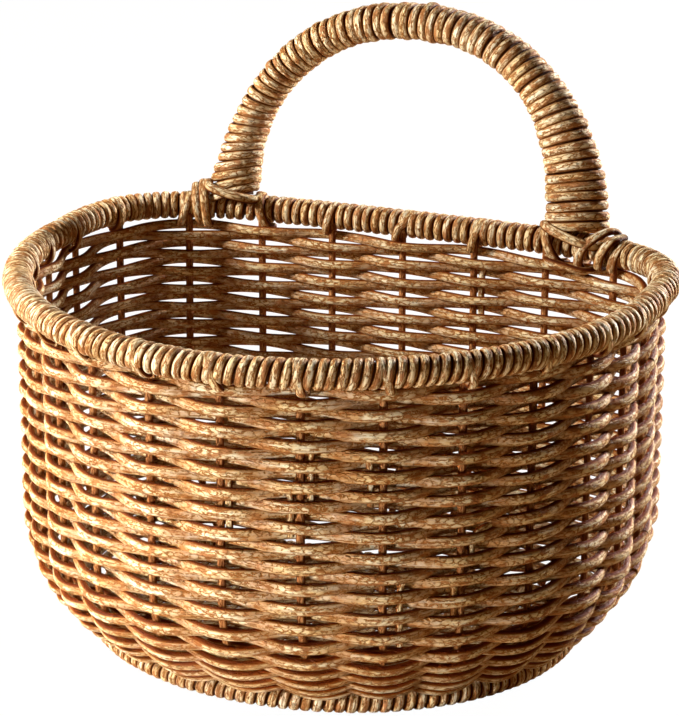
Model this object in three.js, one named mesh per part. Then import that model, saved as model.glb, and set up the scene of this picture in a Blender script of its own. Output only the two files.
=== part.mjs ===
// A half-round rattan storage basket with one fixed arched handle along its long back side.
// Millimetres, +Z up, front towards -Y. The origin is under the middle of the bounding box, on the floor.
// The wall is woven over one stake and under the next. The stakes are odd in number, so a weaver
// that passed in front of a stake passes behind it one round later: each course is a single strand
// that goes round twice and meets itself. Hoops, wrapped in cane, stiffen the rim and the foot.

import * as THREE from 'three';

// Rim: outline through the middle of the rim hoop, and its height above the floor
const rimHalfWidth = 191.5;
const rimFrontDepth = 189;
const rimBackDepth = 115;
const rimFrontPower = 1.93;
const rimBackPower = 3.8;
const rimHeight = 223;
const rimHoopRadius = 5.2;
const rimWrapRadius = 8.5;
const rimRibDepth = 0.8;
const rimRibSpacing = 24;

// Wall: its middle surface hangs inside the rim, goes straight down, then curves in to the foot
const wallInset = 5.5;
const curveTopHeight = 81;
const wallFootHeight = 17;
const curveAngle = 0.8;
const sideDrawIn = 32.5;
const frontDrawIn = 42.5;
const backDrawIn = 30;
const wallFootFrontPower = 2.05;
const wallFootBackPower = 3.3;

// Stakes: upright rods, spaced widest across the back, a little closer in front, where their middle
// is to the right of the basket's, and closest round the two ends
const backSpaces = 10;
const backSpacing = 49.5;
const frontSpaces = 7;
const frontSpacing = 46.5;
const frontSpacesShift = 78;
const leftEndSpaces = 6;
const rightEndSpaces = 2;
const stakeRadius = 1.75;
const stakeFlatIn = 0.75;
const stakeFlatHalf = 0.8;

// Weavers: section of one strand in the open courses and in the tight ones at the foot
const weaverHeight = 5.35;
const weaverWidth = 6.2;
const tightWeaverHeight = 4.6;
const tightCourses = 4;

// Foot: a wrapped hoop that the basket stands on, inside and below the end of the wall
const footDrawIn = 5.5;
const footHoopRadius = 3.6;
const footWrapRadius = 6.6;
const footRibDepth = 0.5;
const footRibSpacing = 22.5;
const footFlat = 0.5;
const footSeam = 1;

// Floor: a woven mat on stout rods between the sides of the foot hoop
const floorThickness = 4;
const floorRodRadius = 2.3;
const floorRods = 5;
const floorRodSpacing = 46;

// Handle: a bundle of canes bent to an arch, leaning back. It thickens towards its feet on the rim,
// slowly down the right leg and only near the foot on the left one.
const leftHandleSpan = 118;
const rightHandleSpan = 114;
const handleRise = 128;
const handlePower = 2.18;
const handleLean = THREE.MathUtils.degToRad(11.8);
const handleThickness = 22.5;
const handleDepth = 29;
const leftFootThickness = 35;
const leftFlareLength = 38;
const rightFootThickness = 41;
const rightFlareLength = 85;
const handleLoops = 24;
const lashingLoops = 3;
const windingSteps = 8;
const caneThickness = 2.8;
const caneEdge = 1.8;
const caneCover = 0.92;
const caneShoulder = 0.86;

// Clear space left between pieces that bear on each other, and between a winding and its core
const seat = 0.3;
const wrapSeat = 0.6;

// How finely curves are followed, and the steps over which their directions are taken
const hoopSides = 6;
const stakeBends = 9;
const handleStations = 24;
const handleSides = 8;
const floorPoints = 40;
const rodSides = 6;
const turnStep = 1e-4;
const dropStep = 0.05;

const colours = {
  stake: 0x9a6238,
  weaver: 0xb67a3c,
  rim: 0xc08a48,
  handle: 0xb98443,
  hidden: 0x8f6234,
};

function material(colour) {
  return new THREE.MeshStandardMaterial({ color: colour, roughness: 0.5, metalness: 0 });
}

// Outlines: half an ellipse-like curve in front, a squarer one behind

function outlineOf(halfWidth, front, back, frontPower, backPower) {
  return { halfWidth, front, back, frontPower, backPower };
}

function blendOutlines(first, second, share) {
  const blended = {};
  for (const key of Object.keys(first)) {
    blended[key] = THREE.MathUtils.lerp(first[key], second[key], share);
  }
  return blended;
}

function shrunk(outline, distance) {
  return {
    ...outline,
    halfWidth: outline.halfWidth - distance,
    front: outline.front - distance,
    back: outline.back - distance,
  };
}

// Turn 0 is at +X and grows through the back, so it runs to the right when seen from outside
function outlinePoint(outline, turn, height = 0) {
  const cos = Math.cos(turn);
  const sin = Math.sin(turn);
  const power = sin < 0 ? outline.frontPower : outline.backPower;
  const depth = sin < 0 ? outline.front : outline.back;
  return new THREE.Vector3(
    outline.halfWidth * Math.sign(cos) * Math.abs(cos) ** (2 / power),
    depth * Math.sign(sin) * Math.abs(sin) ** (2 / power),
    height,
  );
}

function outlineDirection(outline, turn) {
  return outlinePoint(outline, turn + turnStep)
    .sub(outlinePoint(outline, turn - turnStep))
    .normalize();
}

// A curve sampled finely, to change between a value on it and the distance along it
function measure(pointAt, from, to, samples = 2400) {
  const values = [from];
  const lengths = [0];
  let last = pointAt(from);
  for (let i = 1; i <= samples; i += 1) {
    const value = from + ((to - from) * i) / samples;
    const point = pointAt(value);
    values.push(value);
    lengths.push(lengths[i - 1] + point.distanceTo(last));
    last = point;
  }
  const length = lengths[samples];
  function valueAt(distance) {
    let low = 0;
    let high = samples;
    while (high - low > 1) {
      const middle = (low + high) >> 1;
      if (lengths[middle] > distance) {
        high = middle;
      } else {
        low = middle;
      }
    }
    const share = (distance - lengths[low]) / (lengths[high] - lengths[low]);
    return THREE.MathUtils.lerp(values[low], values[high], THREE.MathUtils.clamp(share, 0, 1));
  }
  function distanceAt(value) {
    const place = ((value - from) / (to - from)) * samples;
    const low = Math.min(Math.floor(place), samples - 1);
    return THREE.MathUtils.lerp(lengths[low], lengths[low + 1], place - low);
  }
  return { length, valueAt, distanceAt };
}

function wrapAround(distance, length) {
  return ((distance % length) + length) % length;
}

const rimOutline = outlineOf(rimHalfWidth, rimFrontDepth, rimBackDepth, rimFrontPower, rimBackPower);
const wallTopOutline = shrunk(rimOutline, wallInset);
const wallFootOutline = outlineOf(
  wallTopOutline.halfWidth - sideDrawIn,
  wallTopOutline.front - frontDrawIn,
  wallTopOutline.back - backDrawIn,
  wallFootFrontPower,
  wallFootBackPower,
);
const footOutline = shrunk(wallFootOutline, footDrawIn);
const rimCurve = measure((turn) => outlinePoint(rimOutline, turn), 0, 2 * Math.PI);
const footCurve = measure((turn) => outlinePoint(footOutline, turn), 0, 2 * Math.PI);

// Lofts: rings of points joined into one closed body. A ring runs from outwards to upwards.

function side(index, ringA, ringB, points, inside) {
  for (let j = 0; j < points; j += 1) {
    const next = (j + 1) % points;
    const a = ringA * points + j;
    const b = ringA * points + next;
    const c = ringB * points + j;
    const d = ringB * points + next;
    if (inside) {
      index.push(a, d, c, a, b, d);
    } else {
      index.push(a, c, d, a, d, b);
    }
  }
}

function bodyFrom(points, index) {
  const geometry = new THREE.BufferGeometry();
  const coordinates = points.flatMap((point) => point.toArray());
  geometry.setAttribute('position', new THREE.Float32BufferAttribute(coordinates, 3));
  geometry.setIndex(index);
  geometry.computeVertexNormals();
  return geometry;
}

function closedLoft(rings) {
  const index = [];
  for (let i = 0; i < rings.length; i += 1) {
    side(index, i, (i + 1) % rings.length, rings[0].length, false);
  }
  return bodyFrom(rings.flat(), index);
}

function openLoft(rings) {
  const index = [];
  const points = rings[0].length;
  const end = (rings.length - 1) * points;
  for (let i = 0; i + 1 < rings.length; i += 1) {
    side(index, i, i + 1, points, false);
  }
  for (let j = 1; j + 1 < points; j += 1) {
    index.push(0, j, j + 1, end, end + j + 1, end + j);
  }
  return bodyFrom(rings.flat(), index);
}

// A sleeve open at both ends: outer and bore rings have the same number of points
function sleeveLoft(outer, bore) {
  const index = [];
  const points = outer[0].length;
  for (let i = 0; i + 1 < outer.length; i += 1) {
    side(index, i, i + 1, points, false);
  }
  for (let i = 0; i + 1 < bore.length; i += 1) {
    side(index, outer.length + i, outer.length + i + 1, points, true);
  }
  const outerEnd = (outer.length - 1) * points;
  const boreStart = outer.length * points;
  const boreEnd = (outer.length + bore.length - 1) * points;
  for (let j = 0; j < points; j += 1) {
    const next = (j + 1) % points;
    index.push(j, next, boreStart + j, next, boreStart + next, boreStart + j);
    index.push(outerEnd + next, outerEnd + j, boreEnd + j);
    index.push(boreEnd + next, outerEnd + next, boreEnd + j);
  }
  return bodyFrom([...outer.flat(), ...bore.flat()], index);
}

// Hoops: a round rod bent along an outline, and a ribbed sleeve of cane wound on it. Both have
// their stations at the same distances, so that the clear space between them stays even.

const flatShare = Math.cos(Math.PI / hoopSides);
const boreSeat = seat / flatShare;

function stretch(from, to, spacing) {
  const steps = Math.max(1, Math.round((to - from) / spacing));
  return Array.from({ length: steps + 1 }, (_, i) => from + ((to - from) * i) / steps);
}

function hoopRing(outline, curve, distance, height, radius, lowest = -Infinity) {
  const turn = curve.valueAt(wrapAround(distance, curve.length));
  const along = outlineDirection(outline, turn);
  const middle = outlinePoint(outline, turn, height);
  const ring = [];
  for (let j = 0; j < hoopSides; j += 1) {
    const angle = (2 * Math.PI * j) / hoopSides;
    const out = radius * Math.cos(angle);
    const up = radius * Math.sin(angle);
    const point = middle.clone().add(new THREE.Vector3(along.y * out, -along.x * out, up));
    point.z = Math.max(point.z, lowest);
    ring.push(point);
  }
  return ring;
}

function hoop({ outline, curve, height, hoopRadius }, distances) {
  return closedLoft(
    distances.map((distance) => hoopRing(outline, curve, distance, height, hoopRadius)),
  );
}

function ribbedSleeve({ outline, curve, height, hoopRadius, radius, ribDepth, lowest }, distances) {
  const outer = [];
  distances.forEach((distance, i) => {
    if (i > 0) {
      const middle = (distances[i - 1] + distance) / 2;
      outer.push(hoopRing(outline, curve, middle, height, radius, lowest));
    }
    outer.push(hoopRing(outline, curve, distance, height, radius - ribDepth, lowest));
  });
  const bore = distances.map((distance) =>
    hoopRing(outline, curve, distance, height, hoopRadius + boreSeat),
  );
  return sleeveLoft(outer, bore);
}

// A flat cane wound round a core in one unbroken helix. surface(distance, angle, lift) is a point
// above the core. Prints the least gap between one loop's edge and the next loop's.
function winding(name, surface, from, to, loops) {
  const pitch = (to - from) / (loops + 1);
  const section = [
    [-caneCover / 2, wrapSeat],
    [caneCover / 2, wrapSeat],
    [(caneCover * caneShoulder) / 2, wrapSeat + caneEdge],
    [0, wrapSeat + caneThickness],
    [(-caneCover * caneShoulder) / 2, wrapSeat + caneEdge],
  ];
  const rings = [];
  for (let i = 0; i <= loops * windingSteps; i += 1) {
    const angle = (2 * Math.PI * i) / windingSteps;
    const middle = from + pitch * (0.5 + i / windingSteps);
    rings.push(section.map(([shift, lift]) => surface(middle + shift * pitch, angle, lift)));
  }
  let leastGap = Infinity;
  for (let i = 0; i + windingSteps < rings.length; i += 1) {
    for (const edge of [1, 2]) {
      for (const otherEdge of [0, 4]) {
        const gap = rings[i][edge].distanceTo(rings[i + windingSteps][otherEdge]);
        leastGap = Math.min(leastGap, gap);
      }
    }
  }
  console.log(`${name}: ${loops} loops, least gap to itself ${leastGap.toFixed(2)} mm`);
  return openLoft(rings);
}

// Wall surface: drop is the distance down along it from the level of the rim hoop, measured
// where the wall is drawn in least, so that courses never lie closer than their drops

const straightDrop = rimHeight - curveTopHeight;
const leastDrawIn = Math.min(sideDrawIn, frontDrawIn, backDrawIn);

function curvePoint(angle) {
  const down = ((curveTopHeight - wallFootHeight) * Math.sin(angle)) / Math.sin(curveAngle);
  const inward = (1 - Math.cos(angle)) / (1 - Math.cos(curveAngle));
  return new THREE.Vector3(inward * leastDrawIn, 0, -down);
}

const curveDrop = measure(curvePoint, 0, curveAngle);
const wallDrop = straightDrop + curveDrop.length;

function wallPoint(turn, drop) {
  if (drop <= straightDrop) {
    return outlinePoint(wallTopOutline, turn, rimHeight - drop);
  }
  const angle = curveDrop.valueAt(drop - straightDrop);
  const share = (1 - Math.cos(angle)) / (1 - Math.cos(curveAngle));
  const outline = blendOutlines(wallTopOutline, wallFootOutline, share);
  return outlinePoint(outline, turn, curveTopHeight + curvePoint(angle).z);
}

function wallFrame(turn, drop) {
  const along = wallPoint(turn + turnStep, drop).sub(wallPoint(turn - turnStep, drop)).normalize();
  const up = wallPoint(turn, drop - dropStep).sub(wallPoint(turn, drop + dropStep)).normalize();
  const out = along.clone().cross(up).normalize();
  return { middle: wallPoint(turn, drop), along, up, out };
}

function inFrame(frame, alongBy, outBy, upBy) {
  return frame.middle
    .clone()
    .addScaledVector(frame.along, alongBy)
    .addScaledVector(frame.out, outBy)
    .addScaledVector(frame.up, upBy);
}

// Stakes stand at distances along the rim, counted from the right end of the back
const stakes = backSpaces + leftEndSpaces + frontSpaces + rightEndSpaces;
const backMiddle = rimCurve.distanceAt(Math.PI / 2);
const frontMiddle = rimCurve.distanceAt((3 * Math.PI) / 2) + frontSpacesShift;
const firstStake = backMiddle - (backSpaces * backSpacing) / 2;
const firstFrontStake = frontMiddle - (frontSpaces * frontSpacing) / 2;
const stakeMarks = [
  { place: 0, distance: firstStake },
  { place: backSpaces, distance: firstStake + backSpaces * backSpacing },
  { place: backSpaces + leftEndSpaces, distance: firstFrontStake },
  { place: stakes - rightEndSpaces, distance: firstFrontStake + frontSpaces * frontSpacing },
  { place: stakes, distance: firstStake + rimCurve.length },
];

function stakeDistance(place) {
  const next = Math.max(1, stakeMarks.findIndex((mark) => mark.place >= place));
  const from = stakeMarks[next - 1];
  const to = stakeMarks[next];
  return THREE.MathUtils.mapLinear(place, from.place, to.place, from.distance, to.distance);
}

function stakeTurn(place) {
  const whole = Math.floor(place);
  const first = stakeDistance(whole);
  const distance = first + (place - whole) * (stakeDistance(whole + 1) - first);
  return rimCurve.valueAt(wrapAround(distance, rimCurve.length));
}

// Courses: their levels, from just under the rim to the end of the wall
const openPitch = 2 * (weaverHeight + seat);
const tightPitch = 2 * (tightWeaverHeight + seat);
const changePitch = (openPitch + tightPitch) / 2;
const weaverOffset = stakeRadius + seat + weaverWidth / 2;
const firstDrop = rimWrapRadius + seat + (weaverHeight * 2) / 3 + openPitch / 4;
const lastDrop = wallDrop - tightWeaverHeight / 3 - seat - tightPitch / 4;
const openDrop = lastDrop - (tightCourses - 1) * tightPitch - changePitch - firstDrop;
const openCourses = Math.floor(openDrop / openPitch) + 1;
const courseDrops = [];
for (let i = 0; i < openCourses; i += 1) {
  courseDrops.push(firstDrop + (i * openDrop) / (openCourses - 1));
}
for (let i = tightCourses - 1; i >= 0; i -= 1) {
  courseDrops.push(lastDrop - i * tightPitch);
}

// One course: the strand goes round once in the upper row and once in the lower one, in front of
// every second stake. It changes rows at the first stake, where it crosses over itself.
function course(drop, height) {
  const rise = (height + seat) / 2;
  const halfWidth = weaverWidth / 2;
  const rings = [];
  for (let i = 0; i < 4 * stakes; i += 1) {
    const atStake = i % 2 === 0;
    const inFront = (i / 2) % 2 === 0;
    const changesRow = i % (2 * stakes) === 0;
    const frame = wallFrame(stakeTurn((i / 2) % stakes), drop);
    const offset = atStake ? (inFront ? weaverOffset : -weaverOffset) : 0;
    const lift = changesRow ? 0 : (i < 2 * stakes ? rise : -rise);
    rings.push([
      inFrame(frame, 0, offset + halfWidth, lift - height / 3),
      inFrame(frame, 0, offset, lift + (height * 2) / 3),
      inFrame(frame, 0, offset - halfWidth, lift - height / 3),
    ]);
  }
  return closedLoft(rings);
}

// One stake: from under the rim straight down, round the curve, then in to the foot hoop. Its section
// has a ridge outside and a flat inside, narrow enough for the weavers that bend round it.
function stake(place) {
  const turn = stakeTurn(place);
  const topDrop = Math.sqrt(rimWrapRadius ** 2 - (wallInset - stakeRadius) ** 2) + seat;
  const curved = stretch(straightDrop, wallDrop, (wallDrop - straightDrop) / stakeBends);
  const frames = [topDrop, ...curved].map((drop) => wallFrame(turn, drop));
  const last = wallFrame(turn, wallDrop);
  const footMiddle = outlinePoint(footOutline, turn, footHeight);
  const towards = last.middle.clone().sub(footMiddle).normalize();
  last.middle = footMiddle.addScaledVector(towards, footWrapRadius + seat + stakeRadius / 2);
  frames.push(last);
  const rings = frames.map((frame) => [
    inFrame(frame, 0, stakeRadius, 0),
    inFrame(frame, stakeRadius * stakeFlatHalf, -stakeRadius * stakeFlatIn, 0),
    inFrame(frame, -stakeRadius * stakeFlatHalf, -stakeRadius * stakeFlatIn, 0),
  ]);
  return openLoft(rings);
}

// Foot: the sleeve's lowest flats are cut level with the floor
const footHeight = footWrapRadius * flatShare - footFlat;
const foot = {
  outline: footOutline,
  curve: footCurve,
  height: footHeight,
  hoopRadius: footHoopRadius,
  radius: footWrapRadius,
  ribDepth: footRibDepth,
  lowest: 0,
};

// Handle arch: a superellipse in a plane that leans back, standing on the rim hoop
const rightFootTurn = Math.acos((rightHandleSpan / rimHalfWidth) ** (rimBackPower / 2));
const leftFootTurn = Math.PI - Math.acos((leftHandleSpan / rimHalfWidth) ** (rimBackPower / 2));
const rightFootY = outlinePoint(rimOutline, rightFootTurn).y;
const leftFootY = outlinePoint(rimOutline, leftFootTurn).y;
const archUp = new THREE.Vector3(0, Math.sin(handleLean), Math.cos(handleLean));
const archBack = new THREE.Vector3(0, Math.cos(handleLean), -Math.sin(handleLean));

function archPoint(angle) {
  const cos = Math.cos(angle);
  const span = cos < 0 ? leftHandleSpan : rightHandleSpan;
  const across = span * Math.sign(cos) * Math.abs(cos) ** (2 / handlePower);
  const rise = handleRise * Math.abs(Math.sin(angle)) ** (2 / handlePower);
  const depth = THREE.MathUtils.mapLinear(angle, 0, Math.PI, rightFootY, leftFootY);
  return new THREE.Vector3(across, depth, rimHeight).addScaledVector(archUp, rise);
}

const archCurve = measure(archPoint, 0, Math.PI);
const lashingRadius = rimHoopRadius + wrapSeat + caneThickness;

function clearOfRim(footTurn, footThickness) {
  const footAlong = outlineDirection(rimOutline, footTurn);
  return lashingRadius + seat + (Math.abs(archUp.dot(footAlong)) * footThickness) / 2;
}

const archStart = clearOfRim(rightFootTurn, rightFootThickness);
const archEnd = archCurve.length - clearOfRim(leftFootTurn, leftFootThickness);

function archThickness(distance) {
  const rightFlare = Math.exp(-((distance / rightFlareLength) ** 2));
  const leftFlare = Math.exp(-(((archCurve.length - distance) / leftFlareLength) ** 2));
  return (
    handleThickness +
    (rightFootThickness - handleThickness) * rightFlare +
    (leftFootThickness - handleThickness) * leftFlare
  );
}

// A point above the handle's core: angle 0 is on the outer side of the arch
function archSurface(distance, angle, lift) {
  const value = archCurve.valueAt(distance);
  const along = archPoint(value + turnStep).sub(archPoint(value - turnStep)).normalize();
  const outward = archBack.clone().cross(along).normalize();
  const thick = archThickness(distance) / 2 - caneThickness - wrapSeat + lift;
  const deep = handleDepth / 2 - caneThickness - wrapSeat + lift;
  return archPoint(value)
    .addScaledVector(outward, -thick * Math.cos(angle))
    .addScaledVector(archBack, deep * Math.sin(angle));
}

function handleCore() {
  const rings = [];
  for (let i = 0; i <= handleStations; i += 1) {
    const distance = archStart + ((archEnd - archStart) * i) / handleStations;
    const ring = [];
    for (let j = 0; j < handleSides; j += 1) {
      ring.push(archSurface(distance, (2 * Math.PI * j) / handleSides, 0));
    }
    rings.push(ring);
  }
  return openLoft(rings);
}

// A point above the rim hoop, for the lashings that tie the handle's feet down
function rimSurface(distance, angle, lift) {
  const turn = rimCurve.valueAt(wrapAround(distance, rimCurve.length));
  const along = outlineDirection(rimOutline, turn);
  const out = (rimHoopRadius + lift) * Math.cos(angle);
  const up = (rimHoopRadius + lift) * Math.sin(angle);
  return outlinePoint(rimOutline, turn, rimHeight).add(
    new THREE.Vector3(along.y * out, -along.x * out, up),
  );
}

const basket = new THREE.Group();

function addPiece(name, geometry, colour) {
  const mesh = new THREE.Mesh(geometry, material(colour));
  mesh.name = name;
  basket.add(mesh);
}

function numbered(name, number) {
  return `${name}_${String(number).padStart(2, '0')}`;
}

// Wall
for (let i = 0; i < stakes; i += 1) {
  addPiece(numbered('stake', i + 1), stake(i), colours.stake);
}
courseDrops.forEach((drop, i) => {
  const height = i < openCourses ? weaverHeight : tightWeaverHeight;
  addPiece(numbered('course', i + 1), course(drop, height), colours.weaver);
});

// Rim: the hoop goes right round. Its wrap stops where the handle's feet are lashed down.
const rim = {
  outline: rimOutline,
  curve: rimCurve,
  height: rimHeight,
  hoopRadius: rimHoopRadius,
  radius: rimWrapRadius,
  ribDepth: rimRibDepth,
};
const rightFoot = rimCurve.distanceAt(rightFootTurn);
const leftFoot = rimCurve.distanceAt(leftFootTurn);
const rightReach = rightFootThickness / 2;
const leftReach = leftFootThickness / 2;
const lashingStep = rimRibSpacing / 2;
const rightLashing = stretch(rightFoot - rightReach, rightFoot + rightReach, lashingStep);
const backRim = stretch(rightFoot + rightReach, leftFoot - leftReach, rimRibSpacing);
const leftLashing = stretch(leftFoot - leftReach, leftFoot + leftReach, lashingStep);
const frontRim = stretch(
  leftFoot + leftReach,
  rimCurve.length + rightFoot - rightReach,
  rimRibSpacing,
);
const allRim = [rightLashing, backRim, leftLashing, frontRim].flatMap((part) => part.slice(0, -1));
addPiece('rim_hoop', hoop(rim, allRim), colours.hidden);
addPiece('rim_wrap_front', ribbedSleeve(rim, frontRim), colours.rim);
addPiece('rim_wrap_back', ribbedSleeve(rim, backRim), colours.rim);

// Handle and its lashings
addPiece('handle_core', handleCore(), colours.hidden);
addPiece(
  'handle_wrap',
  winding('handle_wrap', archSurface, archStart, archEnd, handleLoops),
  colours.handle,
);
for (const { name, middle, reach } of [
  { name: 'lashing_right', middle: rightFoot, reach: rightReach - seat },
  { name: 'lashing_left', middle: leftFoot, reach: leftReach - seat },
]) {
  addPiece(
    name,
    winding(name, rimSurface, middle - reach, middle + reach, lashingLoops),
    colours.rim,
  );
}

// Foot and floor: the foot's wrap starts and ends at the middle of the back
const footStart = footCurve.distanceAt(Math.PI / 2);
const footStations = stretch(footStart, footStart + footCurve.length - footSeam, footRibSpacing);
addPiece('foot_hoop', hoop(foot, footStations), colours.hidden);
addPiece('foot_wrap', ribbedSleeve(foot, footStations), colours.rim);

const floorOutline = shrunk(footOutline, footWrapRadius + seat);
const floorShape = new THREE.Shape();
for (let i = 0; i < floorPoints; i += 1) {
  const turn = footCurve.valueAt((footCurve.length * i) / floorPoints);
  const point = outlinePoint(floorOutline, turn);
  if (i === 0) {
    floorShape.moveTo(point.x, point.y);
  } else {
    floorShape.lineTo(point.x, point.y);
  }
}
floorShape.closePath();
const floorGeometry = new THREE.ExtrudeGeometry(floorShape, {
  depth: floorThickness,
  bevelEnabled: false,
});
const floorHeight = footHeight + seat / 2;
floorGeometry.translate(0, 0, floorHeight);
addPiece('floor_mat', floorGeometry, colours.weaver);

for (let i = 0; i < floorRods; i += 1) {
  const across = (i - (floorRods - 1) / 2) * floorRodSpacing;
  const reach = Math.abs(across) + floorRodRadius;
  const share = reach / floorOutline.halfWidth;
  const { frontPower, backPower } = floorOutline;
  const front = floorOutline.front * (1 - share ** frontPower) ** (1 / frontPower);
  const back = floorOutline.back * (1 - share ** backPower) ** (1 / backPower);
  const rod = new THREE.CylinderGeometry(floorRodRadius, floorRodRadius, front + back, rodSides);
  rod.translate(across, (back - front) / 2, floorHeight - seat - floorRodRadius);
  addPiece(numbered('floor_rod', i + 1), rod, colours.stake);
}

// Set the origin under the middle of the finished basket, on the floor
basket.updateMatrixWorld(true);
const bounds = new THREE.Box3().setFromObject(basket, true);
basket.position.set(-(bounds.min.x + bounds.max.x) / 2, -(bounds.min.y + bounds.max.y) / 2, -bounds.min.z);

export default basket;
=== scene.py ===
import math
import bpy
import numpy as np
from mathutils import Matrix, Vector


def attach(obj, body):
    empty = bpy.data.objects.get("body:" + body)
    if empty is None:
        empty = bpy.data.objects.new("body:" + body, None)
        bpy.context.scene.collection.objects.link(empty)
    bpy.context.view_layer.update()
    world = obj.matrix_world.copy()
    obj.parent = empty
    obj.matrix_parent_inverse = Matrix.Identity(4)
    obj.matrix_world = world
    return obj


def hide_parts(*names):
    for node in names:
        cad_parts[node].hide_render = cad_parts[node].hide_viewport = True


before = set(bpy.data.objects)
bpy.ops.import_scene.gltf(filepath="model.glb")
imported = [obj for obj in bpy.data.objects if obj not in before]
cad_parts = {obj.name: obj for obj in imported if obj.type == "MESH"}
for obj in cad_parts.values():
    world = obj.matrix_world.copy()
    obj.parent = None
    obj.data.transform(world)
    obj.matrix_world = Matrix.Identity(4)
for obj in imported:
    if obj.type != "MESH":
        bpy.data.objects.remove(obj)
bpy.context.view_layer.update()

# Studio. The camera stands 1.7 m away with a long lens, to the right of the basket's front and a
# little above the rim. The floor is a pale sheet that keeps the basket's shadow.
view_turn = math.radians(22.66)
view_rise = math.radians(16.92)
view_distance = 1.7226
rim_middle = Vector((0, 0.0232, 0.223))
towards_camera = Vector(
    (
        math.sin(view_turn) * math.cos(view_rise),
        -math.cos(view_turn) * math.cos(view_rise),
        math.sin(view_rise),
    )
)
aim = Vector((0.0040, 0.0192, 0.1708))

camera_data = bpy.data.cameras.new("camera")
camera_data.lens = 145.0
camera_data.sensor_width = 36.0
camera_data.clip_end = 50.0
camera = bpy.data.objects.new("camera", camera_data)
camera.location = rim_middle + towards_camera * view_distance
camera.rotation_euler = (aim - camera.location).to_track_quat("-Z", "Y").to_euler()
bpy.context.scene.collection.objects.link(camera)
bpy.context.scene.camera = camera
bpy.context.scene.view_settings.view_transform = "Standard"


def softbox(name, place, target, width, height, power, colour, spread=180):
    data = bpy.data.lights.new(name, "AREA")
    data.shape = "RECTANGLE"
    data.size = width
    data.size_y = height
    data.energy = power
    data.color = colour
    data.spread = math.radians(spread)
    lamp = bpy.data.objects.new(name, data)
    lamp.location = place
    lamp.rotation_euler = (Vector(target) - Vector(place)).to_track_quat("-Z", "Y").to_euler()
    bpy.context.scene.collection.objects.link(lamp)


# A hard key from the left and a narrow low one under it, a broad one from behind on the right
# that shines into the basket, and a weak warm fill in front.
softbox("key_softbox", (-0.98, -0.36, 0.68), (0, 0, 0.18), 0.26, 0.24, 27, (1.0, 0.99, 0.94))
softbox(
    "low_left_softbox",
    (-0.46, -0.86, 0.12),
    (0.0, -0.12, 0.07),
    0.2,
    0.12,
    1.05,
    (1.0, 0.99, 0.95),
    50,
)
softbox("back_right_softbox", (0.85, 1.65, 0.7), (0.1, 0, 0.18), 0.3, 0.6, 100, (1.0, 0.97, 0.93))
softbox("fill_softbox", (0.9, -2.2, 1.2), (0, 0, 0.2), 1.6, 1.2, 2.4, (1.0, 0.5, 0.12))


def add_node(tree, kind, inputs=None, **settings):
    """Adds a node. An input's value is a plain value or the socket that feeds it."""
    node = tree.nodes.new(kind)
    for label, value in settings.items():
        setattr(node, label, value)
    for key, value in (inputs or {}).items():
        if isinstance(value, bpy.types.NodeSocket):
            tree.links.new(value, node.inputs[key])
        else:
            node.inputs[key].default_value = value
    return node


# The room is white to the camera only, and lights the basket with a weak warm light.
world = bpy.data.worlds.new("studio")
bpy.context.scene.world = world
world.use_nodes = True
room = world.node_tree
room.nodes.clear()
seen = add_node(room, "ShaderNodeLightPath").outputs["Is Camera Ray"]
dim = add_node(room, "ShaderNodeBackground", {"Color": (1.0, 0.5, 0.12, 1), "Strength": 0.012})
white = add_node(room, "ShaderNodeBackground", {"Color": (1, 1, 1, 1), "Strength": 1.0})
mix = add_node(room, "ShaderNodeMixShader", {0: seen, 1: dim.outputs[0], 2: white.outputs[0]})
add_node(room, "ShaderNodeOutputWorld", {"Surface": mix.outputs[0]})

floor_material = bpy.data.materials.new("pale_floor")
floor_material.use_nodes = True
sheet = floor_material.node_tree
sheet.nodes.clear()
seen = add_node(sheet, "ShaderNodeLightPath").outputs["Is Camera Ray"]
share = add_node(sheet, "ShaderNodeMath", {0: seen, 1: 0.9}, operation="MULTIPLY").outputs[0]
lit = add_node(sheet, "ShaderNodeBsdfDiffuse", {"Color": (0.42, 0.29, 0.16, 1)})
white = add_node(sheet, "ShaderNodeEmission", {"Color": (1, 1, 1, 1), "Strength": 1.1})
mix = add_node(sheet, "ShaderNodeMixShader", {0: share, 1: lit.outputs[0], 2: white.outputs[0]})
add_node(sheet, "ShaderNodeOutputMaterial", {"Surface": mix.outputs[0]})

floor_mesh = bpy.data.meshes.new("studio_floor")
floor_mesh.from_pydata([(-8, -8, 0), (8, -8, 0), (8, 8, 0), (-8, 8, 0)], [], [(0, 1, 2, 3)])
floor_mesh.materials.append(floor_material)
studio_floor = bpy.data.objects.new("studio_floor", floor_mesh)
bpy.context.scene.collection.objects.link(studio_floor)

# Rattan surface. Every strand is peeled rattan, stained with a red-brown glaze left in the pores
# and cracks, then lacquered. Its colour also holds painted shade, along the edges, on the lower
# side and where a weaver passes between the stakes.
# The grain coordinate runs in metres along a strand, with its section's two directions after it.
rattan_group = bpy.data.node_groups.new("glazed rattan with painted shade", "ShaderNodeTree")
for direction, kind, labels in (
    ("INPUT", "Vector", ("Grain",)),
    ("INPUT", "Float", ("Sunk Shade", "Stain Amount", "Edge Shade")),
    ("INPUT", "Color", ("Pale", "Honey", "Stain", "Glaze")),
    ("OUTPUT", "Color", ("Color",)),
    ("OUTPUT", "Float", ("Roughness", "Height")),
):
    for label in labels:
        rattan_group.interface.new_socket(label, in_out=direction, socket_type="NodeSocket" + kind)


def calculate(tree, operation, *values):
    inputs = dict(enumerate(values))
    return add_node(tree, "ShaderNodeMath", inputs, operation=operation).outputs[0]


def combine(tree, operation, *values):
    inputs = dict(enumerate(values))
    return add_node(tree, "ShaderNodeVectorMath", inputs, operation=operation).outputs[0]


def times(tree, first, second):
    return calculate(tree, "MULTIPLY", first, second)


def plus(tree, first, second):
    return calculate(tree, "ADD", first, second)


def minus(tree, first, second):
    return calculate(tree, "SUBTRACT", first, second)


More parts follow.
